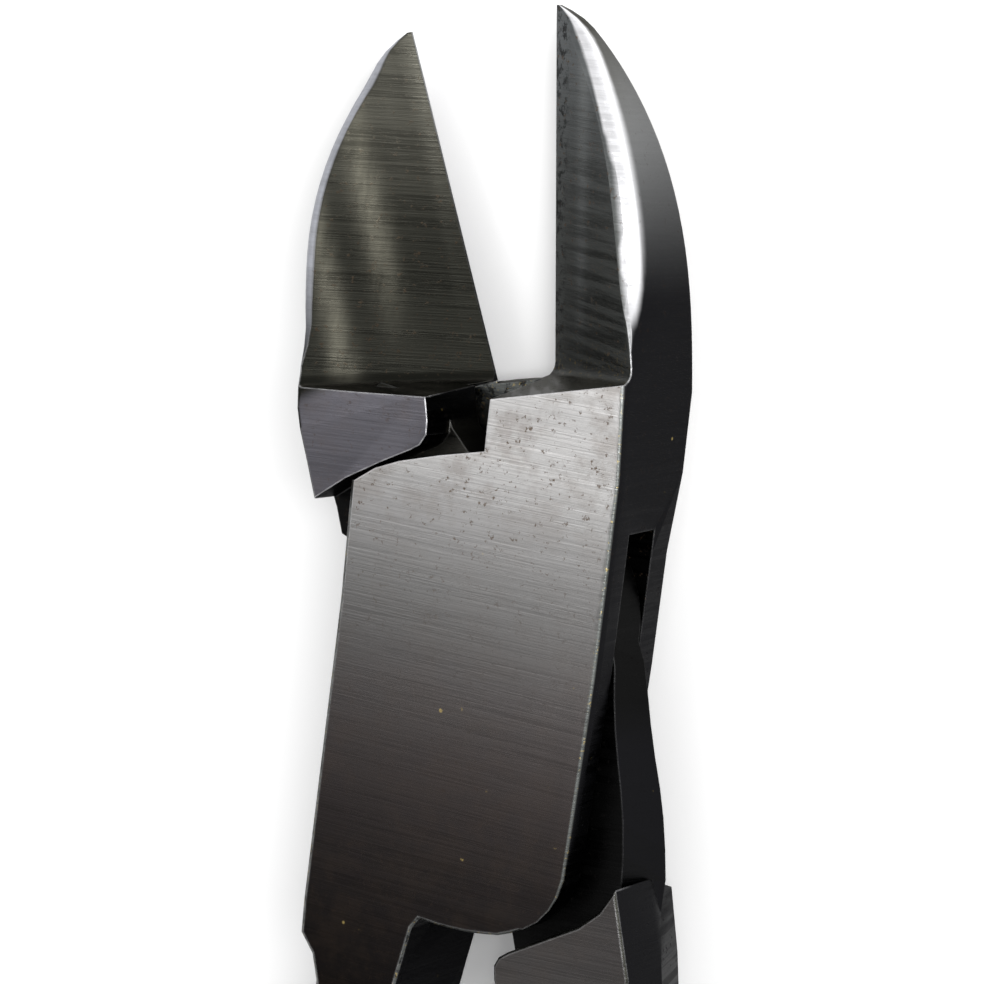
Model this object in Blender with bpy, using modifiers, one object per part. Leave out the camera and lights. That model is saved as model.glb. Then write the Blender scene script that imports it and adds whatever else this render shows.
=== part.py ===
"""Flush cutter for electronics work: two box-jointed steel halves on one pivot rivet, two leaf
springs, and two-part comfort grips.

The part lies on its back. +X is right, +Y points to the jaw tips, +Z is the front, and the origin
is on the pivot axis in the flat back face of the head. It is modelled at rest, with the jaws open.
Lengths in this file are in millimetres and become metres where a mesh is made.
"""

import math

import bmesh
import bpy
from mathutils import Vector

MM = 0.001

# Head
HEAD_THICKNESS = 6.0
HEAD_HALF_WIDTH = 6.85
JAW_OPENING = math.radians(16.3)
JAW_START = 10.0
JAW_TIP = 26.5
NOSE_LENGTH = 17.1
NOSE_POWER = 2.7
NOSE_BLUNTNESS = 0.88
RIM_SQUARENESS = 0.6
CUTTING_LINE_LEAN = 0.03
BOX_SIDE_DRAFT = 0.55
JAW_CLEARANCE = 0.05
BEVEL_SLOPE = 0.77
BEVEL_HOLLOW = 0.12
EDGE_LAND = 0.06
WALL_FILLET = 0.5
CHAMFER_INSET = 0.25
CHAMFER_DROP = 0.5
EDGE_BREAK = 0.1
SIDE_BREAK = 0.3
SHOULDER_DRAFT = 0.85

# Box joint
SLOT_LOW = 1.65
SLOT_HIGH = 4.35
NECK_LOW = 1.85
NECK_HIGH = 4.15
HUB_RADIUS = 5.7
BACK_ARC_BOX = 10.2
BACK_ARC_LAP = 10.35
LOWER_ARC_BOX = 13.62
RIVET_RADIUS = 2.6
RIVET_CLEARANCE = 0.08
RIVET_TOP = 5.2

# Handles: half the distance between the two centre lines, at each distance below the pivot
HANDLE_PATH = [(15, 5.4), (19, 5.9), (26, 8.4), (34, 12.0), (46, 16.6), (60, 20.6), (76, 24.2), (100, 27.4)]
HANDLE_LEAN = 0.0436
SHANK_WIDTH = 4.6
SHANK_THICKNESS = 4.4
SHANK_END = 86.0
MID_HEIGHT = HEAD_THICKNESS / 2

# Grips
GRIP_START = 31.0
GRIP_END = 98.0
GRIP_HALF_WIDTH = 4.6
GRIP_HALF_THICKNESS = 4.2
GUARD_HEIGHT = 1.5
TANG_CLEARANCE = 0.3
PAD_START = 38.0
PAD_END = 93.0
PAD_THICKNESS = 1.3
PAD_GAP = 0.3
PAD_HALF_ANGLE = math.radians(78)

# Springs
SPRING_THICKNESS = 0.7
SPRING_HALF_HEIGHT = 2.0
SPRING_GAP = 0.3
SPRING_START = 21.0
SPRING_TIP = 41.0
SCREW_PLACE = 25.5
SCREW_RADIUS = 0.8
SCREW_HEAD_RADIUS = 1.5
SCREW_HEAD_HEIGHT = 0.8
SCREW_DEPTH = 2.6

LEFT = -1
RIGHT = 1


def clear_scene():
    for obj in list(bpy.data.objects):
        bpy.data.objects.remove(obj, do_unlink=True)


def add_collection(name):
    collection = bpy.data.collections.new(name)
    bpy.context.scene.collection.children.link(collection)
    return collection


def make_material(name, colour, roughness, metallic):
    material = bpy.data.materials.new(name)
    material.use_nodes = True
    shader = material.node_tree.nodes["Principled BSDF"]
    shader.inputs["Base Color"].default_value = (*colour, 1.0)
    shader.inputs["Roughness"].default_value = roughness
    shader.inputs["Metallic"].default_value = metallic
    return material


# --- points -----------------------------------------------------------------------------------

def smooth_step(value):
    value = min(max(value, 0.0), 1.0)
    return value * value * (3 - 2 * value)


def blend(low, high, share):
    return low + (high - low) * share


def interpolate(table, position):
    """Straight-line reading of a table of (position, value) pairs in rising order."""
    for (start, first), (end, second) in zip(table, table[1:]):
        if position <= end:
            return blend(first, second, max(0.0, (position - start) / (end - start)))
    return table[-1][1]


def turned(points, angle):
    cos, sin = math.cos(angle), math.sin(angle)
    return [(x * cos - y * sin, x * sin + y * cos) for x, y in points]


def arc(radius, start, end, steps, centre=(0.0, 0.0)):
    """Points on an arc, with angles in degrees counted from +X."""
    angles = [math.radians(blend(start, end, i / steps)) for i in range(steps + 1)]
    return [(centre[0] + radius * math.cos(a), centre[1] + radius * math.sin(a)) for a in angles]


def spline(points, distance):
    """Catmull-Rom value at a distance, through a table of (distance, value) pairs."""
    index = 0
    while index < len(points) - 2 and distance > points[index + 1][0]:
        index += 1
    p0 = points[max(index - 1, 0)]
    p1, p2 = points[index], points[index + 1]
    p3 = points[min(index + 2, len(points) - 1)]
    span = p2[0] - p1[0]
    share = (distance - p1[0]) / span
    slope1 = (p2[1] - p0[1]) / (p2[0] - p0[0]) * span
    slope2 = (p3[1] - p1[1]) / (p3[0] - p1[0]) * span
    s2, s3 = share ** 2, share ** 3
    return ((2 * s3 - 3 * s2 + 1) * p1[1] + (s3 - 2 * s2 + share) * slope1
            + (3 * s2 - 2 * s3) * p2[1] + (s3 - s2) * slope2)


def handle_centre(side, distance):
    """Centre line of one handle, as a point in plan, at a distance below the pivot."""
    return Vector((-HANDLE_LEAN * distance + side * spline(HANDLE_PATH, distance), -distance))


def handle_frame(side, distance):
    """Centre point and the outward direction across one handle."""
    step = 0.2
    along = handle_centre(side, distance + step) - handle_centre(side, distance - step)
    along.normalize()
    outward = Vector((-along.y, along.x)) * side
    return handle_centre(side, distance), outward


# --- meshes -----------------------------------------------------------------------------------

def add_mesh(name, points, faces, collection):
    mesh = bpy.data.meshes.new(name)
    mesh.from_pydata([Vector(point) * MM for point in points], [], faces)
    shape = bmesh.new()
    shape.from_mesh(mesh)
    bmesh.ops.recalc_face_normals(shape, faces=shape.faces)
    shape.to_mesh(mesh)
    shape.free()
    obj = bpy.data.objects.new(name, mesh)
    collection.objects.link(obj)
    return obj


def add_loft(name, sections, collection):
    """Closed solid through sections that all have the same number of points."""
    count = len(sections[0])
    points = [point for section in sections for point in section]
    faces = [list(range(count))]
    for row in range(len(sections) - 1):
        low = row * count
        for i in range(count):
            j = (i + 1) % count
            faces.append([low + i, low + j, low + count + j, low + count + i])
    last = (len(sections) - 1) * count
    faces.append([last + i for i in reversed(range(count))])
    return add_mesh(name, points, faces, collection)


def add_plate(name, outline, low, high, collection):
    """Flat outline between two heights."""
    curve = bpy.data.curves.new(name, "CURVE")
    curve.dimensions = "2D"
    curve.fill_mode = "BOTH"
    curve.extrude = (high - low) / 2 * MM
    line = curve.splines.new("POLY")
    line.points.add(len(outline) - 1)
    for point, (x, y) in zip(line.points, outline):
        point.co = (x * MM, y * MM, 0.0, 1.0)
    line.use_cyclic_u = True
    guide = bpy.data.objects.new(name + "_outline", curve)
    collection.objects.link(guide)
    graph = bpy.context.evaluated_depsgraph_get()
    mesh = bpy.data.meshes.new_from_object(guide.evaluated_get(graph))
    bpy.data.objects.remove(guide, do_unlink=True)
    shape = bmesh.new()
    shape.from_mesh(mesh)
    bmesh.ops.translate(shape, verts=shape.verts, vec=(0, 0, (low + high) / 2 * MM))
    bmesh.ops.remove_doubles(shape, verts=shape.verts, dist=1e-6)
    bmesh.ops.recalc_face_normals(shape, faces=shape.faces)
    shape.to_mesh(mesh)
    shape.free()
    obj = bpy.data.objects.new(name, mesh)
    collection.objects.link(obj)
    return obj


def add_slab(name, outline, breaks, back_outline, collection):
    """Full-thickness plate. Its front edge is chamfered by breaks, and its back may be narrower."""
    front = [(x, y, HEAD_THICKNESS) for x, y in inset_outline(outline, breaks)]
    side = [(x, y, HEAD_THICKNESS - width) for (x, y), width in zip(outline, breaks)]
    middle = [(x, y, MID_HEIGHT) for x, y in outline]
    back = [(x, y, 0.0) for x, y in back_outline]
    return add_loft(name, [back, middle, side, front], collection)


def inset_outline(outline, amounts):
    """The outline, which runs anticlockwise, with each point moved inwards by its own amount."""
    ring = []
    for i, ((x, y), amount) in enumerate(zip(outline, amounts)):
        before = Vector(outline[i]) - Vector(outline[i - 1])
        after = Vector(outline[(i + 1) % len(outline)]) - Vector(outline[i])
        before.normalize()
        after.normalize()
        inward = Vector((-before.y - after.y, before.x + after.x))
        inward *= amount / (1 + before.dot(after))
        ring.append((x + inward.x, y + inward.y))
    return ring


def add_pin(name, profile, place, axis, collection):
    """Turned piece: (radius, height) profile from top to bottom, screwed round its own axis."""
    mesh = bpy.data.meshes.new(name)
    points = [(radius * MM, 0.0, height * MM) for radius, height in profile]
    mesh.from_pydata(points, [(i, i + 1) for i in range(len(points) - 1)], [])
    obj = bpy.data.objects.new(name, mesh)
    collection.objects.link(obj)
    obj.location = Vector(place) * MM
    obj.rotation_euler = Vector(axis).to_track_quat("Z", "Y").to_euler()
    turn = obj.modifiers.new("turn", "SCREW")
    turn.steps = 36
    turn.render_steps = 36
    turn.use_merge_vertices = True
    turn.merge_threshold = 1e-6
    return obj


def hide_helper(obj):
    obj.hide_render = True
    obj.display_type = "WIRE"
    return obj


def combine(target, other, operation):
    modifier = target.modifiers.new(other.name, "BOOLEAN")
    modifier.operation = operation
    modifier.solver = "EXACT"
    modifier.object = hide_helper(other)


# --- jaws -------------------------------------------------------------------------------------

BOX_RIGHT_EDGE = [(-13.1, 2.7), (-12.7, 3.4), (-12.1, 4.0), (-11.5, 4.4), (-10.7, 4.68), (-5.5, 5.4),
                  (-2.0, 5.86), (3.0, 6.4), (6.5, 6.75), (JAW_START, HEAD_HALF_WIDTH)]
SHOULDER_TIP = (7.16, -10.8)
LAP_LEFT_EDGE = [(5.5, 7.1), (7.0, 7.07), (8.5, 7.05), (JAW_START, HEAD_HALF_WIDTH + 0.2)]


def jaw_width(y, edge):
    """Half-width of a jaw: its own edge in the box, then a nose with a small round tip."""
    if y < JAW_START:
        return interpolate(edge, y)
    share = (y - JAW_START) / NOSE_LENGTH
    tip = math.sqrt(max(1 - (max(y - JAW_TIP + 0.9, 0) / 0.95) ** 2, 0.02))
    return edge[-1][1] * (1 - share ** NOSE_POWER) ** NOSE_BLUNTNESS * tip


def line_shift(y):
    """Sideways place of the closed cutting line, which leans a little to the left of the pivot."""
    return -CUTTING_LINE_LEAN * max(y - JAW_START, 0.0)


def jaw_section(y, side, edge, arc_steps):
    """Section across a jaw. The front falls towards the tip and its outer edge grows rounder."""
    width = jaw_width(y, edge)
    draft = BOX_SIDE_DRAFT * (1 - smooth_step((y - 2.0) / 8.0)) if side == RIGHT else 0.0
    share = max(0.0, (y - JAW_START) / (JAW_TIP - JAW_START))
    rounding = min(0.45 * width, 0.6 + 0.6 * smooth_step(share / 0.45))
    crest = EDGE_LAND + BEVEL_SLOPE * (width - rounding) + 0.04
    change = smooth_step((y - JAW_START) / 4.5)
    fade = smooth_step((y + 13.0) / 2.0)
    top = blend(HEAD_THICKNESS, crest, change)
    inset = blend(CHAMFER_INSET * fade + 0.02, rounding, change)
    drop = blend(CHAMFER_DROP * fade + 0.02, top - 0.02, change)
    inner = JAW_CLEARANCE
    section = [(inner, 0.0), (width - draft, 0.0)]
    for i in range(arc_steps + 1):
        angle = math.radians(90 * i / arc_steps)
        across = inset * (1 - math.cos(angle) ** RIM_SQUARENESS)
        down = drop * (1 - math.sin(angle) ** RIM_SQUARENESS)
        section.append((max(width - across, inner + 0.03), top - down))
    section.append((inner, top))
    return [(side * x + line_shift(y), y, z) for x, z in section]


def add_jaw(name, side, edge, collection):
    arc_steps, count = 6, 24
    nose = [JAW_START + (JAW_TIP - JAW_START) * (1 - (1 - i / count) ** 1.35) for i in range(count + 1)]
    stations = [y for y, _ in edge[:-1]] + nose
    return add_loft(name, [jaw_section(y, side, edge, arc_steps) for y in stations], collection)


def add_bevel_cutter(name, side, wall_start, wall_slope, wall_lean, collection):
    """Removes the front of a jaw down to the hollow-ground bevel, and leaves a leaning end wall."""
    far, high = JAW_TIP + 3, HEAD_THICKNESS + 2
    sections = []
    for x in (-2.0, -0.6, 0.0, 0.9, 2.0, 3.2, 4.4, 5.6, 6.6, 8.0):
        floor = EDGE_LAND + BEVEL_SLOPE * x - BEVEL_HOLLOW * math.sin(math.pi * min(max(x / 6.5, 0), 1))
        wall = [wall_start + wall_slope * x + wall_lean * (1 - z / HEAD_THICKNESS)
                for z in (high, floor + WALL_FILLET, floor)]
        profile = [(wall[0], high), (wall[1], floor + WALL_FILLET)]
        for degrees in (30, 60, 90):
            angle = math.radians(degrees)
            profile.append((wall[2] + WALL_FILLET * (1 - math.cos(angle)),
                            floor + WALL_FILLET * (1 - math.sin(angle))))
        profile += [(far, floor), (far, high)]
        sections.append([(side * x + line_shift(y), y, z) for y, z in profile])
    return add_loft(name, sections, collection)


# --- steel halves -----------------------------------------------------------------------------

def shank_section(side, distance, grow):
    """Rounded oblong across a handle's steel, made larger all round by grow."""
    taper = smooth_step((distance - 30) / 50)
    half_width = SHANK_WIDTH / 2 * (1 - 0.2 * taper) + grow
    half_height = SHANK_THICKNESS / 2 * (1 - 0.25 * taper) + grow
    corner = 0.8
    centre, outward = handle_frame(side, distance)
    section = []
    for quadrant, (sx, sz) in enumerate(((1, 1), (-1, 1), (-1, -1), (1, -1))):
        for degrees in (0, 30, 60, 90):
            angle = math.radians(90 * quadrant + degrees)
            across = sx * (half_width - corner) + corner * math.cos(angle)
            height = sz * (half_height - corner) + corner * math.sin(angle)
            place = centre + outward * across
            section.append((place.x, place.y, MID_HEIGHT + height))
    return section


def add_shank(name, side, start, end, collection, grow=0.0):
    count = 18
    stations = [blend(start, end, i / count) for i in range(count + 1)]
    return add_loft(name, [shank_section(side, d, grow) for d in stations], collection)


def box_slab_outline():
    """Box plates left of the jaw, with the top of the left handle. The top is an arc on the pivot."""
    top = arc(BACK_ARC_BOX, 81, 129, 16)
    left = [(-6.8, 6.0), (-7.26, 0.3), (-8.03, -6.5), (-8.86, -13.4), (-8.97, -14.9), (-8.35, -15.8),
            (-8.1, -17.0), (-8.3, -18.6), (-7.8, -19.4)]
    inner = [(-4.9, -19.4), (-4.45, -18.9), (-3.7, -16.2), (-3.0, -13.85)]
    lower = arc(LOWER_ARC_BOX, -101, -84, 8)
    return top + left + inner + lower + [(2.1, -13.35), (2.7, -13.1), (1.6, -11.0)]


def add_box_half(parts, cutters):
    half = add_jaw("box_half", RIGHT, BOX_RIGHT_EDGE, parts)
    outline = box_slab_outline()
    breaks = [SIDE_BREAK if x < -6.7 else EDGE_BREAK for x, _ in outline]
    slab = add_slab("box_slab", outline, breaks, outline, cutters)
    shank = add_shank("box_shank", LEFT, 15.5, SHANK_END, cutters)
    combine(half, slab, "UNION")
    combine(half, shank, "UNION")
    slot = [(0.33, 14.0), (0.33, 7.6), (2.2, 6.6), (4.2, 5.2), (5.2, 4.5), (6.0, 4.1), (12.0, 4.0),
            (12.0, -14.6), (-3.1, -14.6), (-3.1, -12.9), (-3.8, -8.5), (-5.2, -4.1), (-5.9, -1.2),
            (-5.98, 0.5), (-6.2, 1.2),
            (-7.6, 2.0), (-14.0, 2.6), (-14.0, 14.0)]
    notch = [(0.33, 14.0), (0.33, 9.5), (0.22, 8.44), (0.12, 7.3), (-2.12, 6.98), (-4.17, 6.6), (-5.46, 6.2),
             (-6.5, 5.6), (-12.0, 4.6), (-12.0, 14.0)]
    above = HEAD_THICKNESS + 2
    combine(half, add_plate("box_slot", slot[::-1], SLOT_LOW, SLOT_HIGH, cutters), "DIFFERENCE")
    combine(half, add_plate("box_notch", notch[::-1], SLOT_LOW + 0.1, above, cutters), "DIFFERENCE")
    combine(half, add_bevel_cutter("box_bevel", RIGHT, 9.5, 0.147, 0.95, cutters), "DIFFERENCE")
    combine(half, add_bore("box_bore", cutters), "DIFFERENCE")
    combine(half, add_screw_hole("box_screw_hole", LEFT, cutters), "DIFFERENCE")
    return half


def neck_ring(height, flare):
    """Middle layer of the lap half: left jaw root, round hub, and the way down to the right handle.

    The side below the hub leans out by flare towards the back.
    """
    upper = turned([(0.2, 7.3), (-0.35, 8.5), (-0.35, 9.6)], JAW_OPENING)
    hub_right = arc(HUB_RADIUS, -8, 80, 14)
    hub_left = arc(HUB_RADIUS, 165, 208, 7)
    right = [(4.0, -16.5), (6.3 + 0.2 * flare, -16.5)]
    right += [(x + lean * flare, y) for x, y, lean in (
        (6.4, -13.0, 0.7), (6.45, -11.0, 0.9), (6.48, -9.7, 0.8), (6.44, -8.3, 0.7), (6.3, -7.0, 0.62),
        (6.1, -5.7, 0.53), (5.92, -4.3, 0.45), (5.83, -3.0, 0.35), (5.8, -1.6, 0.15))]
    left = [(-6.5, 9.8), (-8.9, 7.4), (-9.0, 5.8), (-8.95, 4.9), (-8.65, 4.1), (-8.35, 2.95), (-6.2, 1.9)]
    lower = [(-3.6, -5.2), (-1.0, -9.0), (0.9, -13.0), (1.6, -16.0)]
    return [(x, y, height) for x, y in right + hub_right + upper + left + hub_left + lower]


def lower_shoulder_outline():
    """Full-thickness top of the right handle. Its top edge clears the box's lower arc as it swings."""
    return [(1.3, -15.5), (2.1, -18.7), (2.7, -19.3), (7.2, -19.3), (7.8, -18.6), (8.05, -16.5), (7.9, -14.5),
            SHOULDER_TIP, (6.42, -11.85), (5.42, -12.62), (3.9, -13.32), (1.98, -14.2), (1.5, -14.5),
            (1.27, -14.9)]


def add_lap_half(parts, cutters):
    half = add_loft("lap_half", [neck_ring(NECK_LOW, 1.0), neck_ring(NECK_HIGH, 0.0)], parts)
    jaw = add_jaw("lap_jaw", LEFT, LAP_LEFT_EDGE, cutters)
    below = [(3.0, 10.3), (-0.12, 10.3), (-0.19, 9.9), (-0.34, 8.9), (-0.55, 8.3), (-1.0, 7.95),
             (-1.52, 7.85), (-3.17, 7.67), (-5.15, 7.38), (-6.9, 6.9), (-9.0, 6.25), (-9.0, 3.0), (3.0, 3.0)]
    back = arc(BACK_ARC_LAP, 0, 360, 72)[:-1]
    combine(jaw, add_plate("lap_shoulder", below[::-1], -1, HEAD_THICKNESS + 2, cutters), "DIFFERENCE")
    combine(jaw, add_plate("lap_back", back, -1, NECK_LOW + 0.05, cutters), "DIFFERENCE")
    combine(jaw, add_bevel_cutter("lap_bevel", LEFT, 9.85, 0.29, 0.5, cutters), "DIFFERENCE")
    jaw.rotation_euler.z = JAW_OPENING
    for name in ("lap_shoulder", "lap_back", "lap_bevel"):
        bpy.data.objects[name].rotation_euler.z = JAW_OPENING
    combine(half, jaw, "UNION")
    shoulder = lower_shoulder_outline()
    back = [(x - SHOULDER_DRAFT * (x > 7), y) for x, y in shoulder]
    back[shoulder.index(SHOULDER_TIP)] = (6.65, -11.7)
    slab = add_slab("lap_slab", shoulder, [EDGE_BREAK] * len(shoulder), back, cutters)
    combine(half, slab, "UNION")
    combine(half, add_shank("lap_shank", RIGHT, 15.5, SHANK_END, cutters), "UNION")
    combine(half, add_bore("lap_bore", cutters), "DIFFERENCE")
    combine(half, add_screw_hole("lap_screw_hole", RIGHT, cutters), "DIFFERENCE")
    return half


def add_bore(name, cutters):
    outline = arc(RIVET_RADIUS + RIVET_CLEARANCE, 0, 360, 36)[:-1]
    return add_plate(name, outline, -1.0, RIVET_TOP + RIVET_CLEARANCE, cutters)


def add_rivet(parts):
    profile = [(0.0, RIVET_TOP), (RIVET_RADIUS - 0.3, RIVET_TOP), (RIVET_RADIUS, RIVET_TOP - 0.3),
               (RIVET_RADIUS, 0.0), (0.0, 0.0)]
    return add_pin("pivot_rivet", profile, (0, 0, 0), (0, 0, 1), parts)


# --- springs ----------------------------------------------------------------------------------

def inner_face(side, distance, gap):
    """Point at mid height beside a handle's inner face, and the direction away from the handle."""
    centre, outward = handle_frame(side, distance)
    taper = smooth_step((distance - 30) / 50)
    return centre - outward * (SHANK_WIDTH / 2 * (1 - 0.2 * taper) + gap), -outward


def spring_centre(side, distance):
    """Centre line of a leaf: along the handle at its root, then bowed to the middle at its tip."""
    root, _ = inner_face(side, distance, SPRING_GAP + SPRING_THICKNESS / 2)
    middle = Vector((-HANDLE_LEAN * distance + side * (SPRING_THICKNESS / 2 + 0.2), -distance))
    return root.lerp(middle, smooth_step((distance - SCREW_PLACE - 1.5) / (SPRING_TIP - SCREW_PLACE - 1.5)))


def add_spring(name, side, parts, cutters):
    count = 22
    sections = []
    for i in range(count + 1):
        distance = blend(SPRING_START, SPRING_TIP, i / count)
        along = spring_centre(side, distance + 0.2) - spring_centre(side, distance - 0.2)
        across = Vector((-along.y, along.x)).normalized() * SPRING_THICKNESS / 2
        centre = spring_centre(side, distance)
        half = SPRING_HALF_HEIGHT * (1 - 0.25 * i / count)
        sections.append([(centre.x + s * across.x, centre.y + s * across.y, MID_HEIGHT + h * half)
                         for s, h in ((1, 1), (-1, 1), (-1, -1), (1, -1))])
    spring = add_loft(name, sections, parts)
    combine(spring, add_screw_hole(name + "_hole", side, cutters), "DIFFERENCE")
    return spring


def add_screw_hole(name, side, cutters):
    place, away = inner_face(side, SCREW_PLACE, 0)
    profile = [(0.0, 1.0), (SCREW_RADIUS + 0.1, 1.0), (SCREW_RADIUS + 0.1, -SCREW_DEPTH), (0.0, -SCREW_DEPTH)]
    return add_pin(name, profile, (place.x, place.y, MID_HEIGHT), (away.x, away.y, 0), cutters)


def add_screw(name, side, parts):
    """Spring screw: its shank passes the leaf and enters the handle, and its head holds the leaf."""
    place, away = inner_face(side, SCREW_PLACE, 0)
    seat = 2 * SPRING_GAP + SPRING_THICKNESS
    profile = [(0.0, seat + SCREW_HEAD_HEIGHT), (SCREW_HEAD_RADIUS * 0.7, seat + SCREW_HEAD_HEIGHT),
               (SCREW_HEAD_RADIUS, seat + SCREW_HEAD_HEIGHT * 0.4), (SCREW_HEAD_RADIUS, seat),
               (SCREW_RADIUS, seat), (SCREW_RADIUS, 0.3 - SCREW_DEPTH), (0.0, 0.3 - SCREW_DEPTH)]
    return add_pin(name, profile, (place.x, place.y, MID_HEIGHT), (away.x, away.y, 0), parts)


# --- grips ------------------------------------------------------------------------------------

def grip_radii(distance):
    """Half-width and half-thickness of the hard grip: a guard at the top, a waist, a round end."""
    guard = math.exp(-((distance - GRIP_START - 3.0) / 1.6) ** 2)
    palm = math.sin(math.pi * min(max((distance - 38) / 56, 0), 1)) ** 2
    end = math.sqrt(max(1 - (max(distance - GRIP_END + 5, 0) / 5.2) ** 2, 0))
    start = 0.72 + 0.28 * smooth_step((distance - GRIP_START) / 2.5)
    half_width = (GRIP_HALF_WIDTH + GUARD_HEIGHT * guard + 0.7 * palm) * end * start
    half_height = (GRIP_HALF_THICKNESS + 0.5 * guard + 0.3 * palm) * end * start
    return half_width, half_height


def grip_point(side, distance, angle, grow):
    """Point on the grip's oval, counted from the outward direction, grow beyond the hard surface."""
    half_width, half_height = grip_radii(distance)
    centre, outward = handle_frame(side, distance)
    cos, sin = math.cos(angle), math.sin(angle)
    across = math.copysign(abs(cos) ** 0.85, cos) * (half_width + grow)
    height = math.copysign(abs(sin) ** 0.85, sin) * (half_height + grow)
    place = centre + outward * across
    return place.x, place.y, MID_HEIGHT + height


def add_grip_core(name, side, parts, cutters):
    steps = (0, 0.7, 1.4, 2.1, 2.8, 3.5, 4.2, 5, 6.5, 9, 13, 18, 24, 30, 36, 42, 48, 54, 59, 61.5, 63,
             64.2, 65.2, 66, 66.6)
    angles = [2 * math.pi * i / 24 for i in range(24)]
    rings = [[grip_point(side, GRIP_START + step, angle, -PAD_GAP / 2) for angle in angles] for step in steps]
    core = add_loft(name, rings, parts)
    hole = add_shank(name + "_hole", side, GRIP_START - 3, SHANK_END + 1, cutters, TANG_CLEARANCE)
    combine(core, hole, "DIFFERENCE")
    return core


def add_grip_pad(name, side, parts):
    """Soft pad: a crescent round the outer side of the hard grip, with thin feathered ends."""
    rows, count = 20, 14
    sections = []
    for i in range(rows + 1):
        distance = blend(PAD_START, PAD_END, i / rows)
        swell = math.sin(math.pi * (0.06 + 0.88 * i / rows)) ** 0.5
        reach = PAD_HALF_ANGLE * (0.75 + 0.25 * swell)
        angles = [blend(-reach, reach, j / count) for j in range(count + 1)]
        outer = []
        for j, angle in enumerate(angles):
            height = 0.35 + (PAD_THICKNESS - 0.35) * swell * math.sin(math.pi * j / count) ** 0.6
            outer.append(grip_point(side, distance, angle, PAD_GAP / 2 + height))
        inner = [grip_point(side, distance, angle, PAD_GAP / 2) for angle in reversed(angles)]
        sections.append(outer + inner)
    return add_loft(name, sections, parts)


def dress(obj, material):
    obj.data.materials.append(material)
    obj.data.shade_smooth()
    obj.data.set_sharp_from_angle(angle=math.radians(35))


def main():
    clear_scene()
    parts = add_collection("flush_cutter")
    cutters = add_collection("cutters")
    steel = make_material("ground_steel", (0.30, 0.29, 0.29), 0.35, 1.0)
    spring_steel = make_material("spring_steel", (0.42, 0.43, 0.46), 0.25, 1.0)
    screw_steel = make_material("screw_steel", (0.2, 0.2, 0.21), 0.4, 1.0)
    hard_plastic = make_material("hard_plastic", (0.03, 0.03, 0.033), 0.5, 0.0)
    soft_plastic = make_material("soft_plastic", (0.05, 0.10, 0.22), 0.7, 0.0)

    dress(add_box_half(parts, cutters), steel)
    dress(add_lap_half(parts, cutters), steel)
    dress(add_rivet(parts), steel)
    for side, word in ((LEFT, "left"), (RIGHT, "right")):
        dress(add_spring(word + "_leaf_spring", side, parts, cutters), spring_steel)
        dress(add_screw(word + "_spring_screw", side, parts), screw_steel)
        dress(add_grip_core(word + "_grip_core", side, parts, cutters), hard_plastic)
        dress(add_grip_pad(word + "_grip_pad", side, parts), soft_plastic)


main()
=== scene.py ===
# Flush cutter: two ground steel halves on one rivet, two leaf springs and two-part grips
import math

import bmesh
import bpy
from mathutils import Matrix, Vector


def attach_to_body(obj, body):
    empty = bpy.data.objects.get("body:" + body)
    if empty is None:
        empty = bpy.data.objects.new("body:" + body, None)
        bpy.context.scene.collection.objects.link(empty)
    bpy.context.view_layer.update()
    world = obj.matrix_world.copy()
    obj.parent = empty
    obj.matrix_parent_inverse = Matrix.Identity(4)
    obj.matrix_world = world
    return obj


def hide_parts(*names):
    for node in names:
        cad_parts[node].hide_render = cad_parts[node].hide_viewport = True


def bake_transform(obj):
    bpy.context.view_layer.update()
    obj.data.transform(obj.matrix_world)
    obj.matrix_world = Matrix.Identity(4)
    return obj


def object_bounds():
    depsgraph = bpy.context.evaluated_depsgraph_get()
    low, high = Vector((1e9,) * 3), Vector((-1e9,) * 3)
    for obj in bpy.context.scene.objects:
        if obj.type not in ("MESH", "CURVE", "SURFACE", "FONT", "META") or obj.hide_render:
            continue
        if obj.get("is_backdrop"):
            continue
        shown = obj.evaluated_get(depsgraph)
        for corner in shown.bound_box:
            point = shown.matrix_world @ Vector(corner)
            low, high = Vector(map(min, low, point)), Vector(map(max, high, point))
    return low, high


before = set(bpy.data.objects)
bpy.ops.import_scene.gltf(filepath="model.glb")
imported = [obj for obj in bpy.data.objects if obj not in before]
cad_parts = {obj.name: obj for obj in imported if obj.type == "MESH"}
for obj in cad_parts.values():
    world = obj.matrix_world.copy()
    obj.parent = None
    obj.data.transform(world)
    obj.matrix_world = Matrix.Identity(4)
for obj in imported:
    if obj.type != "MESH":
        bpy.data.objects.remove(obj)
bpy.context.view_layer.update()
print("frame loaded")

mm = 0.001
midHeight = 3.0  # mm, half the thickness of the head
boxSide, lapSide = "box_side", "lap_side"  # the bodies on either side of the joint


def ease(value):
    value = min(max(value, 0.0), 1.0)
    return value * value * (3 - 2 * value)


def mix(low, high, share):
    return low + (high - low) * share


def bell(value, middle, width):
    return math.exp(-((value - middle) / width) ** 2)


# the line of each handle, in mm: (distance below the pivot, half the space to the other handle)
handle = {
    "halfSpread": [(15, 5.4), (19, 5.9), (26, 8.4), (34, 12.0),
                   (46, 16.6), (60, 20.6), (76, 24.2), (100, 27.4)],
    "lean": 0.0436,  # sideways shift of both handles for each mm down
    "shankWidth": 4.6,
    "narrowing": 0.2,  # share of the width lost along the handle
    "narrowFrom": 30,
    "narrowLength": 50,
}


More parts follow.
